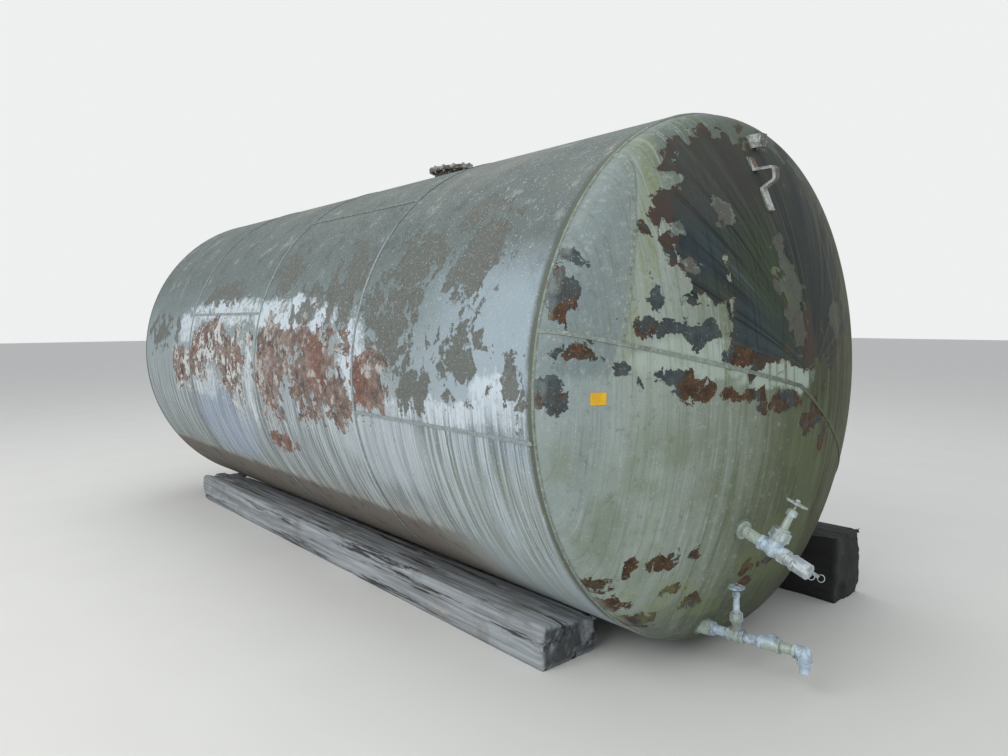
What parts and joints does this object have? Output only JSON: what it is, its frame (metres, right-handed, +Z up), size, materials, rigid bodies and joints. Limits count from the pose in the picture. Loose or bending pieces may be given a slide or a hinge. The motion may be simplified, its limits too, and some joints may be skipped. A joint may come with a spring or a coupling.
{
  "type": "horizontal pressure tank",
  "caption": "Horizontal steel pressure tank with dished heads on timber skids, with a valved cam-lock outlet, a valved drain line, lifting lugs and a top inspection cover.",
  "frame": {"origin": "on the floor, at the middle of the part's length and width", "axes": "+Y along the tank's axis from the valve head towards the rear head, +X to the right seen from the valve head, +Z up"},
  "size_m": [2.4454, 5.9684, 2.5315],
  "materials": {
    "shell_paint": "chalky, dirty",
    "head_paint": "chalky, stained",
    "weld_paint": "rough",
    "fitting_paint": "rusty",
    "galvanised_iron": "galvanised",
    "cap_aluminium": "dull",
    "weathered_timber": "weathered, rough"
  },
  "bodies": {
    "tank": {"shell_course_1": "shell_paint", "shell_course_2": "shell_paint", "shell_course_3": "shell_paint", "shell_course_4": "shell_paint", "front_head_side_plate": "head_paint", "front_head_upper_plate": "head_paint", "front_head_lower_plate": "head_paint", "rear_head": "head_paint", "shell_seam_welds": "weld_paint", "front_rim_weld": "weld_paint", "rear_rim_weld": "weld_paint", "front_head_seam_welds": "weld_paint", "front_lifting_lug": "fitting_paint", "rear_lifting_lug": "fitting_paint", "plate_bracket": "fitting_paint", "inspection_neck": "fitting_paint", "inspection_flange": "fitting_paint", "inspection_cover": "fitting_paint", "upper_coupling": "galvanised_iron", "upper_nipple": "galvanised_iron", "upper_valve_body": "galvanised_iron", "upper_valve_bonnet": "galvanised_iron", "upper_union_nut": "galvanised_iron", "upper_packing_nut": "galvanised_iron", "drain_bushing": "galvanised_iron", "drain_nipples": "galvanised_iron", "drain_valve_body": "galvanised_iron", "drain_valve_bonnet": "galvanised_iron", "drain_union_nut": "galvanised_iron", "drain_packing_nut": "galvanised_iron", "drain_tee": "galvanised_iron", "drain_elbow": "galvanised_iron", "drain_spout": "galvanised_iron", "drain_coupling": "galvanised_iron", "cam_adapter": "cap_aluminium", "dust_cap": "cap_aluminium", "timber_left": "weathered_timber", "timber_right": "weathered_timber"},
    "upper_wheel": {"upper_stem": "galvanised_iron", "upper_handwheel": "galvanised_iron"},
    "drain_wheel": {"drain_stem": "galvanised_iron", "drain_handwheel": "galvanised_iron"},
    "left_cam": {"cam_arm_left": "cap_aluminium"},
    "right_cam": {"cam_arm_right": "cap_aluminium"}
  },
  "joints": [
    {"name": "upper_wheel_turn", "type": "hinge", "parent": "tank", "child": "upper_wheel", "pos_m": [-0.25686, -2.83465, 0.79358], "axis": [0.3113, -0.312, 0.8976], "range_deg": [0, 1710]},
    {"name": "drain_wheel_turn", "type": "hinge", "parent": "tank", "child": "drain_wheel", "pos_m": [-0.28726, -2.59307, 0.38861], "axis": [-0.0046, 0.0209, 0.9998], "range_deg": [0, 1170]},
    {"name": "left_cam_open", "type": "hinge", "parent": "tank", "child": "left_cam", "pos_m": [-0.37477, -2.88289, 0.59044], "axis": [-0.3113, 0.312, -0.8976], "range_deg": [0, 100]},
    {"name": "right_cam_open", "type": "hinge", "parent": "tank", "child": "right_cam", "pos_m": [-0.29959, -2.886, 0.56329], "axis": [0.3113, -0.312, 0.8976], "range_deg": [0, 100]}
  ]
}
